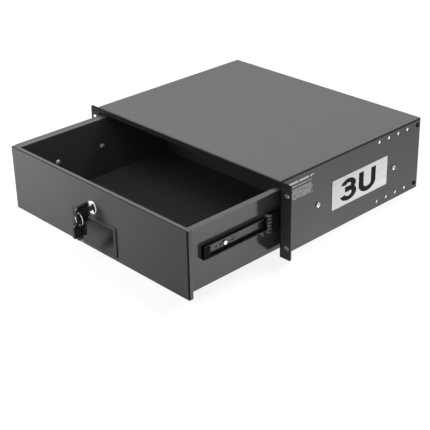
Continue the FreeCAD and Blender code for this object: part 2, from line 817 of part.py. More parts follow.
def main():
    nodes = {
        "top_cover": top_cover(),
        "rear_tie_lower": rear_tie(row_inset, -1),
        "rear_tie_upper": rear_tie(side_top - row_inset, 1),
        "lock_strike": lock_strike(),
        "size_plate": size_plate(),
        "data_label": data_label(),
        "drawer_tray": drawer_tray(),
        "drawer_front_wall": drawer_front_wall(),
        "drawer_back": drawer_back(),
        "drawer_front": drawer_front(),
        "handle_cup": handle_cup(),
        "lock_body": lock_body(),
        "lock_nut": lock_nut(),
        "lock_plug": lock_plug(),
        "lock_cam": lock_cam(),
        "cam_screw": cam_screw(),
        "key_head": key_head(),
        "key_blade": key_blade(),
        "key_ring": key_ring(),
        "spare_key_head": hanging(key_head()),
        "spare_key_blade": hanging(key_blade()),
    }
    pairs = {
        "side_panel": side_panel(),
        "tie_screws": tie_screws(),
        "outer_screws": outer_screws(),
        "slide_outer": outer_member(),
        "slide_middle": middle_member(),
        "slide_inner": inner_member(),
        "outer_cage": cage(outer_ball_in, outer_ball_up, outer_cage_web(), outer_cage_front),
        "outer_balls": balls(outer_ball_in, outer_ball_up, outer_cage_front),
        "inner_cage": cage(inner_ball_in, inner_ball_up, inner_cage_web(), inner_cage_front),
        "inner_balls": balls(inner_ball_in, inner_ball_up, inner_cage_front),
        "inner_bumper": inner_bumper(),
        "middle_bumper": middle_bumper(),
        "drawer_screws": drawer_screws(),
        "drawer_nuts": drawer_nuts(),
        "drawer_side": drawer_side(),
    }
    for name, shape in pairs.items():
        nodes[name + "_right"] = shape
        nodes[name + "_left"] = mirrored(shape)
    export_all(nodes)


main()
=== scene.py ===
import math
import random

import bmesh
import bpy
from mathutils import Matrix, Vector


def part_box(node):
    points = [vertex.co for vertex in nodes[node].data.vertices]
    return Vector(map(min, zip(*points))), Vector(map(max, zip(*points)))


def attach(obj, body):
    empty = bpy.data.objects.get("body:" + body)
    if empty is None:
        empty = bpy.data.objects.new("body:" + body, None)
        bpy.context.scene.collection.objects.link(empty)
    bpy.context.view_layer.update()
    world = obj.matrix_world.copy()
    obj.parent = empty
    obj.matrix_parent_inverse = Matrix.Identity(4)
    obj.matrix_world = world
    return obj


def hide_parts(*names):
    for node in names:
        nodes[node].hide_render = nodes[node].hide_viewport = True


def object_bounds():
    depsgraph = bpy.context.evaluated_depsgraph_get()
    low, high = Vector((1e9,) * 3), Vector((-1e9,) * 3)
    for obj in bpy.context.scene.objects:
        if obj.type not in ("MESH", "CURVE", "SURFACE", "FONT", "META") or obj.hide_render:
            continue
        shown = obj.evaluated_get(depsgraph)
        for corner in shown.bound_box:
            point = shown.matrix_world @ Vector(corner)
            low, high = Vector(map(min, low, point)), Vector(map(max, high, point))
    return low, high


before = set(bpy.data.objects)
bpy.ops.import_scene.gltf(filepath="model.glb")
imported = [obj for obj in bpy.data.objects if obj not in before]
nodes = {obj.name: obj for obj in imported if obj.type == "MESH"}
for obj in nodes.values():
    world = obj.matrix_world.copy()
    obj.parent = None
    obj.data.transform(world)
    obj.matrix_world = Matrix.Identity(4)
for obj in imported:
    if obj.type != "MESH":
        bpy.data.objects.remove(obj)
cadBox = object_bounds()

scene = bpy.context.scene
hair = 0.0001    # places nearer to each other than this count as one
straight = 0.9   # a face whose normal reaches this far along an axis looks that way


# camera and lamps

camera = dict(place=(1.20123, -1.05986, 0.75477), forward=(-0.659962, 0.621157, -0.422627),
              right=(0.692084, 0.721533, -0.020263), lens=89.41, sensor=36, shift=(0.0, -0.1),
              near=0.05, far=50)


def addCamera():
    data = bpy.data.cameras.new("camera")
    data.lens = camera["lens"]
    data.sensor_width = camera["sensor"]
    data.shift_x, data.shift_y = camera["shift"]
    data.clip_start = camera["near"]
    data.clip_end = camera["far"]
    eye = bpy.data.objects.new("camera", data)
    scene.collection.objects.link(eye)
    forward = Vector(camera["forward"]).normalized()
    right = Vector(camera["right"]).normalized()
    up = right.cross(forward)
    turn = Matrix((right, up, -forward)).transposed().to_4x4()
    eye.matrix_world = Matrix.Translation(camera["place"]) @ turn
    scene.camera = eye


lamps = [
    dict(name="keyFromLowRear", place=(2.3, 2.16, -2.1), target=(0.1, -0.05, 0), size=0.35, power=72),
    dict(name="softTop", place=(0.0, 1.2, 2.6), target=(0, 0, 0), size=1.0, power=69),
    dict(name="leftFill", place=(-2.4, 0.1, 0.25), target=(0, 0, 0), size=1.0, power=18),
    dict(name="wideFill", place=(1.6, -2.6, 1.4), target=(0, 0, 0), size=1.5, power=5),
    dict(name="overDrawer", place=(0.0, -0.25, 0.55), target=(0, -0.05, 0), size=0.4, power=1.0),
    dict(name="frontFill", place=(-0.27, -0.54, 0.15), target=(-0.1, -0.19, 0), size=0.2, power=1.5),
]


def addLamps():
    for lamp in lamps:
        data = bpy.data.lights.new(lamp["name"], "AREA")
        data.shape = "DISK"
        data.size = lamp["size"]
        data.energy = lamp["power"]
        bulb = bpy.data.objects.new(lamp["name"], data)
        bulb.location = lamp["place"]
        direction = Vector(lamp["target"]) - Vector(lamp["place"])
        bulb.rotation_euler = direction.to_track_quat("-Z", "Y").to_euler()
        scene.collection.objects.link(bulb)


# shader maths

class Wire:
    # wraps a socket, so that sums on values are written as they are on paper
    def __init__(self, graph, socket):
        self.graph = graph
        self.socket = socket

    def math(self, operation, other=None, swap=False):
        values = [self] if other is None else [self, other]
        if swap:
            values.reverse()
        return self.graph.node("ShaderNodeMath", {"operation": operation}, dict(enumerate(values)))

    def __add__(self, other):
        return self.math("ADD", other)

    def __sub__(self, other):
        return self.math("SUBTRACT", other)

    def __rsub__(self, other):
        return self.math("SUBTRACT", other, swap=True)

    def __mul__(self, other):
        return self.math("MULTIPLY", other)

    def __truediv__(self, other):
        return self.math("DIVIDE", other)

    def __rtruediv__(self, other):
        return self.math("DIVIDE", other, swap=True)

    def __gt__(self, other):
        return self.math("GREATER_THAN", other)

    def __lt__(self, other):
        return self.math("LESS_THAN", other)

    __radd__ = __add__
    __rmul__ = __mul__


class Graph:
    # the nodes of a material or of the world
    def __init__(self, tree):
        self.tree = tree

    def put(self, socket, value):
        if isinstance(value, Wire):
            self.tree.links.new(value.socket, socket)
        else:
            socket.default_value = value

    def node(self, kind, settings=None, inputs=None, output=0):
        made = self.tree.nodes.new(kind)
        for key, value in (settings or {}).items():
            setattr(made, key, value)
        for key, value in (inputs or {}).items():
            self.put(made.inputs[key], value)
        return Wire(self, made.outputs[output])


edgeWearAndHighlight = dict(samples=4, gain=4)


class Paint(Graph):
    # a material, with the patterns and the wear that its colour is mixed from
    def __init__(self, name, shade, roughness=0.5, metallic=0.0, specular=0.5):
        self.material = bpy.data.materials.new(name)
        self.material.use_nodes = True
        super().__init__(self.material.node_tree)
        self.shader = self.tree.nodes["Principled BSDF"]
        self.set("Base Color", (*grey(shade), 1))
        self.set("Roughness", roughness)
        self.set("Metallic", metallic)
        self.set("Specular IOR Level", specular)
        self.material.diffuse_color = (*grey(shade), 1)

    def set(self, name, value):
        self.put(self.shader.inputs[name], value)

    def place(self):
        return self.node("ShaderNodeTexCoord", output="Object")

    def stretched(self, scale):
        return self.node("ShaderNodeMapping", {}, {"Vector": self.place(), "Scale": scale})

    def along(self, axis):
        return self.node("ShaderNodeSeparateXYZ", {}, {"Vector": self.place()}, axis)

    def noise(self, scale, detail=2.0, vector=None):
        inputs = {"Vector": vector or self.place(), "Scale": scale, "Detail": detail}
        return self.node("ShaderNodeTexNoise", {}, inputs, "Fac")

    def mix(self, mask, first, second):
        # first where the mask is 0, second where it is 1; sockets 6 and 7 take the colours
        first, second = [value if isinstance(value, Wire) else (*grey(value), 1) for value in (first, second)]
        return self.node("ShaderNodeMix", {"data_type": "RGBA"}, {0: mask, 6: first, 7: second}, 2)

    def bump(self, height, strength, distance):
        inputs = {"Height": height, "Strength": strength, "Distance": distance}
        self.set("Normal", self.node("ShaderNodeBump", {}, inputs, "Normal"))

    def wornAndHighlitEdges(self, radius):
        # 0 on flats, rising on edges that stand proud within the radius
        soft = self.node("ShaderNodeBevel", {"samples": edgeWearAndHighlight["samples"]}, {"Radius": radius}, "Normal")
        true = self.node("ShaderNodeNewGeometry", {}, {}, "Normal")
        facing = self.node("ShaderNodeVectorMath", {"operation": "DOT_PRODUCT"}, {0: soft, 1: true}, "Value")
        return (1 - facing) * edgeWearAndHighlight["gain"]


def grey(level):
    # a grey as it is seen on a screen, 0 to 255, turned to the light it gives
    value = level / 255
    linear = value / 12.92 if value <= 0.04045 else ((value + 0.055) / 1.055) ** 2.4
    return (linear, linear, linear)


def share(paint, axis, low, high):
    # 0 at the low end of a box along one axis, 1 at its high end
    return (paint.along(axis) - low[axis]) / (high[axis] - low[axis])


def clamped(wire):
    return wire.math("MAXIMUM", 0).math("MINIMUM", 1)


def fromMiddle(paint):
    return paint.along(0).math("ABSOLUTE")


# painted steel

powder = dict(shade=104, dark=96, wearAndHighlight=124, line=26, roughness=0.5, specular=0.10, cloudScale=7.0,
              cloudRough=0.16, grainScale=1500, grainRough=0.1, grainStrength=0.14, grainDeep=0.0002,
              edgeRadius=0.0007, edgeLeast=0.35, edgeMore=0.6)


def powderPaint(name, paintedLight=None, paintedShade=None):
    # the second argument gives a colour with painted light and shade in it, before its edges are rubbed, and
    # the third paints shade over it after that
    paint = Paint(name, powder["shade"], powder["roughness"], specular=powder["specular"])
    cloud = paint.noise(powder["cloudScale"], detail=3.0)
    fine = paint.noise(powder["grainScale"])
    colour = paintedLight(paint, cloud) if paintedLight else paint.mix(cloud, powder["dark"], powder["shade"])
    # edges are painted lighter: partly wear of the paint, partly a painted highlight along the bends
    wearAndHighlight = paint.wornAndHighlitEdges(powder["edgeRadius"]) * (powder["edgeLeast"] + cloud * powder["edgeMore"])
    colour = paint.mix(wearAndHighlight, colour, powder["wearAndHighlight"])
    if paintedShade:
        colour = paintedShade(paint, colour, cloud)
    paint.set("Base Color", colour)
    uneven = (cloud - 0.5) * powder["cloudRough"] + (fine - 0.5) * powder["grainRough"]
    paint.set("Roughness", powder["roughness"] + uneven)
    paint.bump(fine, powder["grainStrength"], powder["grainDeep"])
    return paint


# shade painted into the cover's seam, onto its lip and onto the ears
seamShade = dict(below=0.0032, inward=0.0004)
earShade = dict(low=118, top=36, lip=30, deep=-0.0002, below=0.0016, inward=0.2205)


def cabinetPaintedShade(paint, colour, cloud):
    # painted shade: a dark line in the gap where the cover meets the sides' bends
    low, high = cadBox
    upper = paint.along(2) > high[2] - seamShade["below"]
    outer = fromMiddle(paint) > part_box("top_cover")[1][0] - seamShade["inward"]
    colour = paint.mix(upper * outer, colour, powder["line"])
    # painted shade: the ears and the cover's lip are painted darker than the sides, and the ears' painted
    # shade deepens upwards
    facing = (paint.along(1) < earShade["deep"]) * (paint.along(2) < high[2] - earShade["below"])
    shadedEar = facing * (fromMiddle(paint) > earShade["inward"])
    colour = paint.mix(facing, colour, earShade["lip"])
    return paint.mix(shadedEar, colour, paint.mix(share(paint, 2, low, high), earShade["low"], earShade["top"]))


# shade painted along the front panel's bends
foldShade = dict(deep=0.0024, crest=0.0002, strength=0.95, inward=0.0022)


def frontFoldShade(paint, colour, cloud):
    # painted shade: dark lines along the front panel's bends, where their rounding falls into shade
    low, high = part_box("drawer_front")
    sides = fromMiddle(paint) > high[0] - foldShade["inward"]
    top = paint.along(2) > high[2] - foldShade["inward"]
    reach = paint.along(1) < low[1] + foldShade["deep"]
    crest = paint.along(1) < low[1] + foldShade["crest"]
    line = sides.math("MAXIMUM", top) * reach * (1 - crest)
    return paint.mix(line * foldShade["strength"], colour, powder["line"])


# painted light and shade on the drawer's walls
wallShading = dict(low=76, top=132, steady=0.8, flange=96, skin=0.00028, inside=78, insideDark=71,
             inward=0.2052, edge=0.0014)


def wallPaintedLight(paint, cloud):
    # painted light: the drawer's walls are painted darker towards the floor and lighter towards the top, as
    # light falls on them, and their flanges' upper faces are painted darker as painted shade
    low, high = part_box("drawer_side_right")
    rise = share(paint, 2, low, high) * wallShading["steady"] + cloud * (1 - wallShading["steady"])
    colour = paint.mix(rise, wallShading["low"], wallShading["top"])
    return paint.mix(paint.along(2) > high[2] - wallShading["skin"], colour, wallShading["flange"])


def wallPaintedShade(paint, colour, cloud):
    # painted shade: the insides of the drawer are painted darker, up to the turned-out flanges, for the shade
    # that falls inside it
    low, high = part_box("drawer_side_right")
    inside = (fromMiddle(paint) < wallShading["inward"]) * (paint.along(1) > low[1] + wallShading["skin"])
    inside = inside * (paint.along(2) < high[2] - wallShading["edge"])
    return paint.mix(inside, colour, paint.mix(cloud, wallShading["insideDark"], wallShading["inside"]))


# bare and plated metal

steel = dict(shade=38, dark=28, wearAndHighlight=150, roughness=0.45, uneven=0.2, specular=0.13, drawn=(900, 6, 900),
             drawnScale=2.0, drawnShare=0.6, cloudScale=26.0, edgeRadius=0.0004, strength=0.06, deep=0.0001)


def slideSteel():
    paint = Paint("slideSteel", steel["shade"], steel["roughness"], specular=steel["specular"])
    drawn = paint.noise(steel["drawnScale"], detail=3.0, vector=paint.stretched(steel["drawn"]))
    cloud = paint.noise(steel["cloudScale"], detail=3.0)
    tone = drawn * steel["drawnShare"] + cloud * (1 - steel["drawnShare"])
    colour = paint.mix(tone, steel["dark"], steel["shade"])
    # edges are painted paler: partly wear, partly a painted highlight on the rail edges
    paint.set("Base Color", paint.mix(paint.wornAndHighlitEdges(steel["edgeRadius"]), colour, steel["wearAndHighlight"]))
    paint.set("Roughness", steel["roughness"] + (cloud - 0.5) * steel["uneven"])
    paint.bump(drawn, steel["strength"], steel["deep"])
    return paint


# the plate's painted sheen runs from its front to its rear
brush = dict(front=214, rear=252, streak=154, roughness=0.42, uneven=0.25, metallic=0.1, specular=0.3,
             fine=(400, 9, 2600), broad=(60, 5, 420), fineShare=0.6, streakStart=0.42, streakGain=1.12,
             strength=0.08, deep=0.0001)


def brushedPlate():
    # painted sheen: paler towards the rear, as if the brushed metal caught the light there, with fine lines
    # along the rolling direction
    low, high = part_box("size_plate")
    paint = Paint("plateMetal", brush["rear"], brush["roughness"], brush["metallic"], brush["specular"])
    fine = paint.noise(1.0, detail=4.0, vector=paint.stretched(brush["fine"]))
    broad = paint.noise(1.0, vector=paint.stretched(brush["broad"]))
    paintedSheen = paint.mix(share(paint, 1, low, high), brush["front"], brush["rear"])
    lines = fine * brush["fineShare"] + broad * (1 - brush["fineShare"])
    streaks = (lines - brush["streakStart"]).math("MAXIMUM", 0) * brush["streakGain"]
    paint.set("Base Color", paint.mix(streaks, paintedSheen, brush["streak"]))
    paint.set("Roughness", brush["roughness"] + (fine - 0.5) * brush["uneven"])
    paint.bump(fine, brush["strength"], brush["deep"])
    return paint


metals = dict(
    cageSteel=dict(shade=176, dark=150, roughness=0.34, scale=300, metallic=1.0),
    ballSteel=dict(shade=220, dark=200, roughness=0.14, scale=500, metallic=1.0),
    zincScrew=dict(shade=236, dark=204, roughness=0.26, scale=700, metallic=0.7),
    zincNut=dict(shade=252, dark=240, roughness=0.35, scale=700, metallic=0.0),
    chrome=dict(shade=236, dark=214, roughness=0.12, scale=240, metallic=1.0),
    keySteel=dict(shade=208, dark=178, roughness=0.28, scale=900, metallic=1.0),
)
metalSkin = dict(uneven=0.18, finer=6, strength=0.05, deep=0.00008)


def castMetal(name):
    # plated or turned metal with a fine mottle and duller patches
    look = metals[name]
    paint = Paint(name, look["shade"], look["roughness"], look["metallic"])
    mottle = paint.noise(look["scale"], detail=3.0)
    paint.set("Base Color", paint.mix(mottle, look["dark"], look["shade"]))
    paint.set("Roughness", look["roughness"] + (mottle - 0.5) * metalSkin["uneven"])
    paint.bump(paint.noise(look["scale"] * metalSkin["finer"]), metalSkin["strength"], metalSkin["deep"])
    return paint


# plastics, black lacquer and ink

plastics = dict(
    handlePlastic=dict(shade=88, dark=80, roughness=0.5, scale=1300, strength=0.2, specular=0.1),
    bumperPlastic=dict(shade=14, dark=9, roughness=0.6, scale=1800, strength=0.12, specular=0.02),
    keyPlastic=dict(shade=26, dark=18, roughness=0.4, scale=1600, strength=0.14, specular=0.3),
    blackScrew=dict(shade=18, dark=11, roughness=0.6, scale=900, strength=0.05, specular=0.04),
    plateInk=dict(shade=16, dark=10, roughness=0.6, scale=900, strength=0.05, specular=0.04),
)
plasticSkin = dict(cloudScale=18.0, cloudShare=0.7, uneven=0.22, deep=0.00015)


def moulded(name):
    # a matt surface with a fine grain
    look = plastics[name]
    paint = Paint(name, look["shade"], look["roughness"], specular=look["specular"])
    grain = paint.noise(look["scale"])
    cloud = paint.noise(plasticSkin["cloudScale"])
    tone = cloud * plasticSkin["cloudShare"] + grain * (1 - plasticSkin["cloudShare"])
    paint.set("Base Color", paint.mix(tone, look["dark"], look["shade"]))
    paint.set("Roughness", look["roughness"] + (grain - 0.5) * plasticSkin["uneven"])
    paint.bump(grain, look["strength"], plasticSkin["deep"])
    return paint


# shade painted into the pull's pocket
pull = dict(pocket=34, grainScale=700, deepGain=0.7, upGain=1.9, start=0.9, rimDeep=0.12)


def pullPlastic():
    # painted shade: darker at the back of the pocket and under its upper edge, where shade falls
    look = plastics["handlePlastic"]
    paint = moulded("handlePlastic")
    low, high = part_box("handle_cup")
    deep = share(paint, 1, low, high)
    up = share(paint, 2, low, high)
    pocketShade = clamped(deep * pull["deepGain"] + up * pull["upGain"] - pull["start"])
    pocketShade = pocketShade * (deep > pull["rimDeep"])
    base = paint.mix(paint.noise(pull["grainScale"]), look["dark"], look["shade"])
    paint.set("Base Color", paint.mix(pocketShade, base, pull["pocket"]))
    return paint


mottled = dict(shade=250, dark=70, scale=330.0, contrast=3.4, roughness=0.3, uneven=0.3, specular=0.3,
               strength=0.5, deep=0.0004)


def mottledCap():
    # cloudy moulding, light with dark patches at random
    paint = Paint("endCapPlastic", mottled["shade"], specular=mottled["specular"])
    blotch = paint.noise(mottled["scale"], detail=4.0)
    spread = clamped((blotch - 0.5) * mottled["contrast"] + 0.5)
    paint.set("Base Color", paint.mix(spread, mottled["dark"], mottled["shade"]))
    paint.set("Roughness", mottled["roughness"] + blotch * mottled["uneven"])
    paint.bump(blotch, mottled["strength"], mottled["deep"])
    return paint


# rows are counted down from the film's upper edge: two bold ones, a gap, then small ones
# with a rule among them
label = dict(front=0.0130, rear=0.0750, low=0.0236, high=0.0552, thick=0.00015, corner=0.002,
             cornerSteps=4)
rows = dict(pitch=0.0027, left=0.0010, right=0.0012, ragged=0.007, raggedTurn=2.3, light=246, faint=0.8,
            boldRows=2, boldFrom=0.35, boldTo=1.7, smallFrom=2.9, inkFrom=0.24, inkTo=0.76,
            ruleRow=4, ruleTo=4.3)
words = dict(scale=420.0, least=0.41, boldLonger=0.6, rowShift=0.37, rowStep=1.7)
filmSkin = dict(roughness=0.42, uneven=0.1, cloudScale=60.0, grainScale=1500, strength=0.08, deep=0.0001)


def printedFilm():
    # rows of light dashes, with no letter in them
    paint = Paint("labelFilm", powder["shade"], specular=0.1)
    depth = paint.along(1)
    count = (label["high"] - paint.along(2)) / rows["pitch"]
    row = count.math("FLOOR")
    within = count.math("FRACT")
    bold = count < rows["boldRows"]
    small = (count > rows["smallFrom"]) * (within > rows["inkFrom"]) * (within < rows["inkTo"])
    heading = (count > rows["boldFrom"]) * (count < rows["boldTo"])
    cut = {0: depth * (1 - bold * words["boldLonger"]), 1: row * words["rowShift"] * (1 - bold),
           2: row * words["rowStep"] * (1 - bold)}
    patches = paint.noise(words["scale"], detail=1.0, vector=paint.node("ShaderNodeCombineXYZ", {}, cut))
    dashes = patches > words["least"]
    last = label["rear"] - rows["right"]
    ends = last - (row * rows["raggedTurn"]).math("SINE").math("ABSOLUTE") * rows["ragged"]
    written = (depth > label["front"] + rows["left"]) * (depth < ends)
    ruled = (row > rows["ruleRow"] - 0.5) * (row < rows["ruleRow"] + 0.5)
    rule = (count > rows["ruleRow"]) * (count < rows["ruleTo"]) * (depth < last)
    cloud = paint.noise(powder["cloudScale"], detail=3.0)
    colour = paint.mix(cloud, powder["dark"], powder["shade"])
    ink = (small * rows["faint"] + heading) * dashes * written * (1 - ruled)
    colour = paint.mix(ink, colour, rows["light"])
    paint.set("Base Color", paint.mix(rule * rows["faint"], colour, powder["line"]))
    paint.set("Roughness", filmSkin["roughness"] + paint.noise(filmSkin["cloudScale"]) * filmSkin["uneven"])
    paint.bump(paint.noise(filmSkin["grainScale"]), filmSkin["strength"], filmSkin["deep"])
    return paint


def wear(nodeNames, paint):
    for name in nodeNames:
        data = nodes[name].data
        data.materials.clear()
        data.materials.append(paint.material)


def both(name):
    return [name + "_right", name + "_left"]


def dressNodes():
    # gives the nodes their materials, and returns those that the modelled pieces take
    cabinet = powderPaint("cabinetPaint", paintedShade=cabinetPaintedShade)
    wallShadePaint = powderPaint("drawerInsidePaint", wallPaintedLight, wallPaintedShade)
    zinc, chrome, black = castMetal("zincScrew"), castMetal("chrome"), moulded("blackScrew")
    wear(both("side_panel") + ["top_cover", "rear_tie_upper", "rear_tie_lower", "lock_strike"], cabinet)
    wear(["drawer_front"], powderPaint("drawerPaint", paintedShade=frontFoldShade))
    wear(["drawer_tray", "drawer_front_wall", "drawer_back"] + both("drawer_side"), wallShadePaint)
    wear(both("slide_outer") + both("slide_middle") + both("slide_inner"), slideSteel())
    wear(both("outer_cage") + both("inner_cage"), castMetal("cageSteel"))
    wear(both("outer_balls") + both("inner_balls"), castMetal("ballSteel"))
    wear(both("outer_screws") + both("drawer_screws") + ["lock_nut", "lock_cam", "cam_screw"], zinc)
    wear(both("drawer_nuts"), castMetal("zincNut"))
    wear(both("tie_screws"), black)
    wear(["size_plate"], brushedPlate())
    wear(both("inner_bumper"), moulded("bumperPlastic"))
    wear(["handle_cup"], pullPlastic())
    wear(["lock_body", "lock_plug"], chrome)
    wear(["key_blade", "spare_key_blade"], castMetal("keySteel"))
    return {"zinc_screw": zinc, "black_screw": black, "chrome": chrome, "film": printedFilm(),
            "cap": mottledCap(), "head": moulded("keyPlastic"), "ink": moulded("plateInk")}


# white floor and background

floorPaint = dict(shade=120, glow=0.88, roughness=0.9, size=40)
ambient = dict(light=0.07)


def whenSeen(graph):
    # 1 for rays from the camera, and for those that metal and glass send on
    seen = graph.node("ShaderNodeLightPath", output="Is Camera Ray")
    path = seen.socket.node
    for name in ("Is Glossy Ray", "Is Transmission Ray"):
        seen = seen.math("MAXIMUM", Wire(graph, path.outputs[name]))
    return seen


def addFloor():
    bpy.ops.mesh.primitive_plane_add(size=floorPaint["size"], location=(0, 0, cadBox[0][2] - hair))
    floor = bpy.context.object
    floor.name = "floor"
    floor.visible_shadow = False
    paint = Paint("floorWhite", floorPaint["shade"], floorPaint["roughness"], specular=0.0)
    paint.set("Emission Color", paint.mix(whenSeen(paint), 0, 255))
    paint.set("Emission Strength", floorPaint["glow"])
    floor.data.materials.append(paint.material)


def addWorld():
    world = bpy.data.worlds.new("studio")
    scene.world = world
    world.use_nodes = True
    sky = Graph(world.node_tree)
    background = sky.tree.nodes["Background"]
    sky.put(background.inputs["Color"], (1, 1, 1, 1))
    strength = whenSeen(sky) * (1 - ambient["light"]) + ambient["light"]
    sky.put(background.inputs["Strength"], strength)


# modelling by hand

def deselect():
    if bpy.context.mode != "OBJECT":
        bpy.ops.object.mode_set(mode="OBJECT")
    bpy.ops.object.select_all(action="DESELECT")


def chosen(pieces):
    # selects only these pieces, the first of them active
    deselect()
    for piece in pieces:
        piece.select_set(True)
    bpy.context.view_layer.objects.active = pieces[0]


def named(piece, name):
    piece.name = name
    piece.data.name = name
    return piece


def started(name, scale=(1, 1, 1)):
    # the primitive that was just added, with its size and place put in its mesh
    piece = named(bpy.context.object, name)
    piece.scale = scale
    bpy.ops.object.transform_apply(location=True, rotation=True, scale=True)
    return piece


def block(name, low, high):
    deselect()
    bpy.ops.mesh.primitive_cube_add(size=1, location=[(a + b) / 2 for a, b in zip(low, high)])
    return started(name, [b - a for a, b in zip(low, high)])


def quad(name, left, low, right, high):
    deselect()
    bpy.ops.mesh.primitive_plane_add(size=1, location=((left + right) / 2, (low + high) / 2, 0))
    return started(name, (right - left, high - low, 1))


def rod(name, radius, long, middle, sides, turn=(0, 0, 0)):
    deselect()
    bpy.ops.mesh.primitive_cylinder_add(vertices=sides, radius=radius, depth=long, location=middle,
                                        rotation=turn)
    return started(name)


def pick(piece, kind, test):
    # in edit mode, selects only the faces, edges or points whose middle passes the test
    bpy.ops.mesh.select_mode(type=kind)
    bpy.ops.mesh.select_all(action="DESELECT")
    shape = bmesh.from_edit_mesh(piece.data)
    if kind == "FACE":
        for face in shape.faces:
            face.select_set(test(face.calc_center_median(), face.normal))
    elif kind == "EDGE":
        for edge in shape.edges:
            edge.select_set(test((edge.verts[0].co + edge.verts[1].co) / 2, edge))
    else:
        for point in shape.verts:
            point.select_set(test(point.co, point))
    shape.select_flush_mode()
    bmesh.update_edit_mesh(piece.data)


def editOn():
    bpy.ops.object.mode_set(mode="EDIT")


def editOff():
    bpy.ops.object.mode_set(mode="OBJECT")


def pushed(x, y, z):
    # extrudes what is selected in edit mode
    bpy.ops.mesh.extrude_region_move(TRANSFORM_OT_translate={"value": (x, y, z)})


def facedOutward():
    bpy.ops.mesh.select_all(action="SELECT")
    bpy.ops.mesh.normals_make_consistent(inside=False)


def applied(piece, kind, **settings):
    bpy.context.view_layer.objects.active = piece
    modifier = piece.modifiers.new(kind.lower(), kind)
    for key, value in settings.items():
        setattr(modifier, key, value)
    bpy.ops.object.modifier_apply(modifier=modifier.name)


def combined(piece, tool, operation):
    # a boolean that uses its tool up
    applied(piece, "BOOLEAN", object=tool, operation=operation, solver="EXACT")
    bpy.data.objects.remove(tool)


def settled(piece, location=(0, 0, 0), turn=(0, 0, 0)):
    # moves and turns a piece, then puts that place in its mesh
    chosen([piece])
    piece.location = location
    piece.rotation_euler = turn
    bpy.ops.object.transform_apply(location=True, rotation=True, scale=True)
    return piece


def joined(parts, name):
    chosen(parts)
    bpy.ops.object.join()
    return named(parts[0], name)


def copied(piece, name):
    twin = piece.copy()
    twin.data = piece.data.copy()
    twin.name = name
    scene.collection.objects.link(twin)
    return twin


def dressed(piece, paint, body, smooth=None):
    piece.data.materials.clear()
    piece.data.materials.append(paint.material)
    if smooth:
        chosen([piece])
        bpy.ops.object.shade_smooth_by_angle(angle=math.radians(smooth))
    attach(piece, body)


def outward(box, sign):
    # the near and far ends of a box across the drawer, counted from the middle on either side
    return (box[0][0], box[1][0]) if sign > 0 else (-box[1][0], -box[0][0])


hands = (("_right", 1), ("_left", -1))   # the ending of each side's names, and where it lies


# screws with a cross recess

screws = (
    dict(node="outer_screws", body="cabinet", slot="zinc_screw", head=0.0080, high=0.0026, recess=0.0050),
    dict(node="drawer_screws", body="drawer", slot="zinc_screw", head=0.0070, high=0.0020, recess=0.0044),
    dict(node="tie_screws", body="cabinet", slot="black_screw", head=0.0076, high=0.0012, recess=0.0044),
)
screwForm = dict(sides=40, dome=0.55, domeSteps=5, domeProfile=0.6, shank=0.0040, shankSides=24,
                 tip=0.0004, tipSteps=2, arm=0.24, taper=0.45, deep=0.62, turnSeed=5, turnMost=1.5,
                 smooth=32)


def crossCutter(wide, deep, top):
    # a square peg with four arms, drawn in towards its lower end
    arm = wide * screwForm["arm"]
    bpy.ops.mesh.primitive_cube_add(size=1, location=(0, 0, top - deep / 2))
    cutter = started("cutter", (arm, arm, deep * 2))
    editOn()
    pick(cutter, "FACE", lambda spot, normal: abs(normal.z) < straight)
    bpy.ops.mesh.extrude_faces_move(TRANSFORM_OT_shrink_fatten={"value": (wide - arm) / 2})
    pick(cutter, "VERT", lambda spot, point: spot.z < top - deep / 2)
    taper = screwForm["taper"]
    bpy.ops.transform.resize(value=(taper, taper, 1), center_override=(0, 0, 0))
    editOff()
    return cutter


def modelScrew(kind, long):
    # stands on z = 0 with its head up
    high = kind["high"]
    screw = rod("screw", kind["head"] / 2, high, (0, 0, high / 2), screwForm["sides"])
    editOn()
    pick(screw, "EDGE", lambda spot, edge: spot.z > high - hair)
    bpy.ops.mesh.bevel(offset=high * screwForm["dome"], segments=screwForm["domeSteps"],
                       profile=screwForm["domeProfile"])
    editOff()
    deselect()
    combined(screw, crossCutter(kind["recess"], high * screwForm["deep"], high), "DIFFERENCE")
    shank = rod("shank", screwForm["shank"] / 2, long, (0, 0, -long / 2), screwForm["shankSides"])
    editOn()
    pick(shank, "EDGE", lambda spot, edge: spot.z < hair - long)
    bpy.ops.mesh.bevel(offset=screwForm["tip"], segments=screwForm["tipSteps"])
    editOff()
    return joined([screw, shank], "screw")


def addScrews(paints):
    for kind in screws:
        low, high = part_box(kind["node"] + "_right")
        first = modelScrew(kind, high[0] - low[0] - kind["high"])
        turns = random.Random(screwForm["turnSeed"])
        reach = kind["head"] / 2
        for side, sign in hands:
            low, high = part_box(kind["node"] + side)
            seat = sign * (outward((low, high), sign)[1] - kind["high"])
            # one screw at each corner of the node's box, where corners that meet count once
            depths = (low[1] + reach, high[1] - reach)
            heights = (high[2] - reach, low[2] + reach)
            spots = {(round(depth, 4), round(height, 4)) for depth in depths for height in heights}
            parts = []
            for depth, height in sorted(spots):
                twin = copied(first, "screw")
                settled(twin, turn=(0, 0, turns.uniform(0, screwForm["turnMost"])))
                parts.append(settled(twin, (seat, depth, height), (0, sign * math.pi / 2, 0)))
            pair = joined(parts, kind["node"] + side + "_crossed")
            dressed(pair, paints[kind["slot"]], kind["body"], screwForm["smooth"])
            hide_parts(kind["node"] + side)
        bpy.data.objects.remove(first)


# rack size on the plate

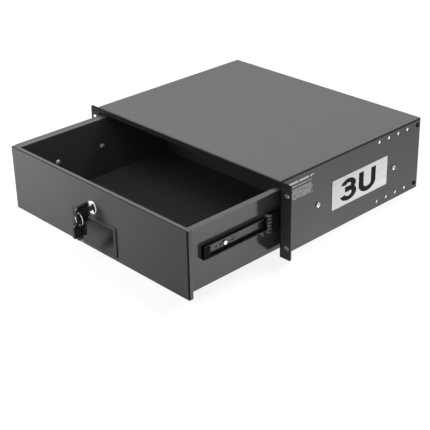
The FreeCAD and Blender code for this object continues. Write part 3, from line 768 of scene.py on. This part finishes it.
lettering = dict(raised=0.00015, lowerShare=0.97, low=-0.0219, height=0.0382, seed=0.0002, stepTurn=5,
                 leastSteps=8, weld=0.000002)
three = dict(stroke=0.0074, wide=1.64, depth=0.1575, upper=0.0113, lower=0.0123, terminal=168, bar=0.0052)
curved = dict(stroke=0.0084, wide=1.42, depth=0.2055, radius=0.0152)
upright = (math.pi / 2, 0, math.pi / 2)   # turns a flat piece to face out of the right side


def spun(piece, test, centre, degrees):
    pick(piece, "EDGE", test)
    steps = max(lettering["leastSteps"], int(abs(degrees) / lettering["stepTurn"]))
    bpy.ops.mesh.spin(steps=steps, angle=math.radians(degrees), center=(*centre, 0), axis=(0, 0, -1))


def thickened(high):
    bpy.ops.mesh.select_all(action="SELECT")
    bpy.ops.mesh.remove_doubles(threshold=lettering["weld"])
    bpy.ops.mesh.normals_make_consistent(inside=False)
    pushed(0, 0, high)
    facedOutward()


def bowl(middle, radius, upper):
    # one bowl of the 3: a short upright at the right, spun up to one end and down to the other
    seed = lettering["seed"]
    near = seed / 10
    piece = quad("bowl", radius - three["stroke"], middle - seed, radius, middle + seed)
    up, down = (three["terminal"], -90) if upper else (90, -three["terminal"])

    def lowEnd(spot, edge):
        level = abs(edge.verts[0].co.y - edge.verts[1].co.y) < near
        return level and spot.x > 0 and abs(spot.y - middle + seed) < near

    editOn()
    spun(piece, lambda spot, edge: spot.y > middle + seed - near, (0, middle + seed), up)
    if not upper:
        pushed(-three["bar"], 0, 0)
    spun(piece, lowEnd, (0, middle - seed), down)
    if upper:
        pushed(-three["bar"], 0, 0)
    # the lower bowl is a hair thinner, so that no two faces lie in one place
    thickened(lettering["raised"] * (1 if upper else lettering["lowerShare"]))
    editOff()
    return piece


def addLettering(paint):
    height = lettering["height"]
    bowls = [bowl(height - three["upper"], three["upper"], True), bowl(three["lower"], three["lower"], False)]
    figure = joined(bowls, "three")
    radius = curved["radius"]
    letter = quad("letterU", -radius, radius, curved["stroke"] - radius, height)
    editOn()
    spun(letter, lambda spot, edge: spot.y < radius + hair, (0, radius), 180)
    pushed(0, height - radius, 0)
    thickened(lettering["raised"])
    editOff()
    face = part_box("size_plate")[1][0]
    for piece, form in ((figure, three), (letter, curved)):
        piece.scale = (form["wide"], 1, 1)
        settled(piece, (face, form["depth"], lettering["low"]), upright)
        dressed(piece, paint, "cabinet")


def addLabel(paint):
    piece = quad("label_film", label["front"], label["low"], label["rear"], label["high"])
    editOn()
    bpy.ops.mesh.select_all(action="SELECT")
    bpy.ops.mesh.bevel(offset=label["corner"], segments=label["cornerSteps"], affect="VERTICES")
    thickened(label["thick"])
    editOff()
    # the plate's back lies on the side's flat, as the film does
    settled(piece, (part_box("size_plate")[0][0], 0, 0), upright)
    dressed(piece, paint, "cabinet")
    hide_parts("data_label")


# key ring and moulded key heads

splitRing = dict(turns=2, wide=0.0012, thick=0.0005, pitch=0.00056, steps=72, sides=12, startTurn=200,
                 smooth=40)


def addRing(paint):
    # a flat wire wound twice, as a split ring is
    low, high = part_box("key_ring")
    wide, turns = splitRing["wide"], splitRing["turns"]
    deselect()
    bpy.ops.mesh.primitive_circle_add(vertices=splitRing["sides"], radius=0.5, location=(0, 0, 0),
                                      rotation=(math.pi / 2, 0, 0))
    ring = started("split_ring")
    ring.scale = (wide, 1, splitRing["thick"])
    settled(ring, ((high[0] - low[0]) / 2 - wide / 2, 0, 0))
    rise = splitRing["pitch"] * turns
    steps = splitRing["steps"] * turns
    applied(ring, "SCREW", angle=math.radians(360 * turns), screw_offset=rise, steps=steps,
            render_steps=steps, use_merge_vertices=False)
    editOn()
    bpy.ops.mesh.select_all(action="DESELECT")
    bpy.ops.mesh.select_non_manifold()
    bpy.ops.mesh.fill_holes(sides=0)
    facedOutward()
    editOff()
    settled(ring, (0, 0, -rise / 2))
    middle = [(a + b) / 2 for a, b in zip(low, high)]
    settled(ring, middle, (math.pi / 2, math.radians(splitRing["startTurn"]), 0))
    dressed(ring, paint, "spare_key", splitRing["smooth"])
    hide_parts("key_ring")


keyHead = dict(long=0.025, neck=0.009, step=0.0005, rim=0.0022, sunk=0.0007, slope=0.0005, near=0.001,
               round=0.009, roundSteps=10, square=0.0015, squareSteps=3, edge=0.0003, edgeSteps=3,
               edgeTurn=40, hole=0.0025, holeInset=0.0055, holeSides=40, drill=0.010, smooth=35)
ribs = dict(count=5, pitch=0.0026, wide=0.0011, long=0.011, edge=0.0003, edgeSteps=2, sunk=0.25)


def modelHead(low, high):
    # the head of the key in the lock, from its box: outer end rounded, sides sunk inside a moulded rim
    rear = low[1] + keyHead["long"]
    middle = (low[2] + high[2]) / 2
    outer = (high[2] - low[2]) / 2 - keyHead["near"]
    head = block("head", low, (high[0], rear, high[2]))
    editOn()
    pick(head, "EDGE", lambda spot, edge: abs(spot.x) < hair and spot.y < rear - keyHead["near"])
    bpy.ops.mesh.bevel(offset=keyHead["round"], segments=keyHead["roundSteps"])
    pick(head, "FACE", lambda spot, normal: abs(normal.x) > straight)
    bpy.ops.mesh.inset(thickness=keyHead["rim"], depth=0)
    bpy.ops.mesh.inset(thickness=keyHead["slope"], depth=-keyHead["sunk"])
    pick(head, "EDGE", lambda spot, edge: abs(spot.x) < hair and spot.y > rear - hair
         and abs(spot.z - middle) > outer)
    bpy.ops.mesh.bevel(offset=keyHead["square"], segments=keyHead["squareSteps"])
    editOff()
    half, step = keyHead["neck"] / 2, keyHead["step"]
    neck = block("neck", (low[0] + step, rear - step, middle - half),
                 (high[0] - step, high[1], middle + half))
    combined(head, neck, "UNION")
    spot = (0, low[1] + keyHead["holeInset"], middle)
    turn = (0, math.pi / 2, 0)
    drill = rod("drill", keyHead["hole"], keyHead["drill"], spot, keyHead["holeSides"], turn)
    combined(head, drill, "DIFFERENCE")
    applied(head, "BEVEL", width=keyHead["edge"], segments=keyHead["edgeSteps"], limit_method="ANGLE",
            angle_limit=math.radians(keyHead["edgeTurn"]))
    return head


def modelRibs(low, high):
    # grip ribs on both sides of the head, behind its hole
    parts = []
    middle = (low[2] + high[2]) / 2
    first = low[1] + keyHead["holeInset"] + keyHead["hole"] + ribs["pitch"]
    reach = high[0] - keyHead["sunk"] * ribs["sunk"]
    for i in range(ribs["count"]):
        along = first + i * ribs["pitch"]
        rib = block("rib", (-reach, along - ribs["wide"] / 2, middle - ribs["long"] / 2),
                    (reach, along + ribs["wide"] / 2, middle + ribs["long"] / 2))
        editOn()
        pick(rib, "EDGE", lambda spot, edge: abs(spot.x) > reach - hair)
        bpy.ops.mesh.bevel(offset=ribs["edge"], segments=ribs["edgeSteps"])
        editOff()
        parts.append(rib)
    return parts


def addKeys(paint):
    low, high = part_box("key_head")
    head = joined([modelHead(low, high)] + modelRibs(low, high), "key_grip")
    spare = copied(head, "spare_key_grip")
    # the spare one hangs blade down from the ring
    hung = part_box("spare_key_head")
    middle = (0, (hung[0][1] + hung[1][1]) / 2, hung[1][2])
    settled(spare, (0, -low[1], -(low[2] + high[2]) / 2))
    settled(spare, middle, (-math.pi / 2, 0, 0))
    dressed(head, paint, "key", keyHead["smooth"])
    dressed(spare, paint, "spare_key", keyHead["smooth"])
    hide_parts("key_head")
    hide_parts("spare_key_head")


# end caps of the middle members

endCap = dict(grooves=5, deep=0.0010, edge=0.0003, edgeSteps=2, proud=0.00025, gap=0.0004, past=0.002,
              smooth=40)


def modelCap(low, high, inner):
    # ribbed on its outer face, with a window that the inner member slides through
    cap = block("cap", low, (high[0] + endCap["proud"], high[1], high[2]))
    cuts = endCap["grooves"] * 2
    step = (high[2] - low[2]) / (cuts + 1)
    editOn()
    bpy.ops.mesh.select_all(action="SELECT")
    bpy.ops.mesh.subdivide(number_cuts=cuts)
    pick(cap, "FACE", lambda spot, normal: normal.x > straight and int((spot.z - low[2]) / step) % 2 == 1)
    pushed(-endCap["deep"], 0, 0)
    editOff()
    past, gap = endCap["past"], endCap["gap"]
    window = block("window", (low[0] - past, low[1] - past, inner[0][2] - gap),
                   (inner[1][0] + gap, high[1] + past, inner[1][2] + gap))
    combined(cap, window, "DIFFERENCE")
    applied(cap, "BEVEL", width=endCap["edge"], segments=endCap["edgeSteps"], limit_method="ANGLE")
    return cap


def mirrored(box, sign):
    # a box of the left side as it would stand on the right
    near, far = outward(box, sign)
    return (near, *box[0][1:]), (far, *box[1][1:])


def addEndCaps(paint):
    for side, sign in hands:
        low, high = mirrored(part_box("middle_bumper" + side), sign)
        cap = modelCap(low, high, mirrored(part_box("slide_inner" + side), sign))
        if sign < 0:
            settled(cap, turn=(0, 0, math.pi))
            settled(cap, (0, low[1] + high[1], 0))
        named(cap, "end_cap" + side)
        dressed(cap, paint, "middle" + side, endCap["smooth"])
        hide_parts("middle_bumper" + side)


addCamera()
addLamps()
addFloor()
addWorld()
print("studio is set")
paints = dressNodes()
print("materials are on")
addScrews(paints)
print("screws are in")
addLettering(paints["ink"])
addLabel(paints["film"])
print("plate is lettered")
addRing(paints["chrome"])
addKeys(paints["head"])
addEndCaps(paints["cap"])
print("keys and end caps are in")

scene.view_settings.view_transform = "Standard"
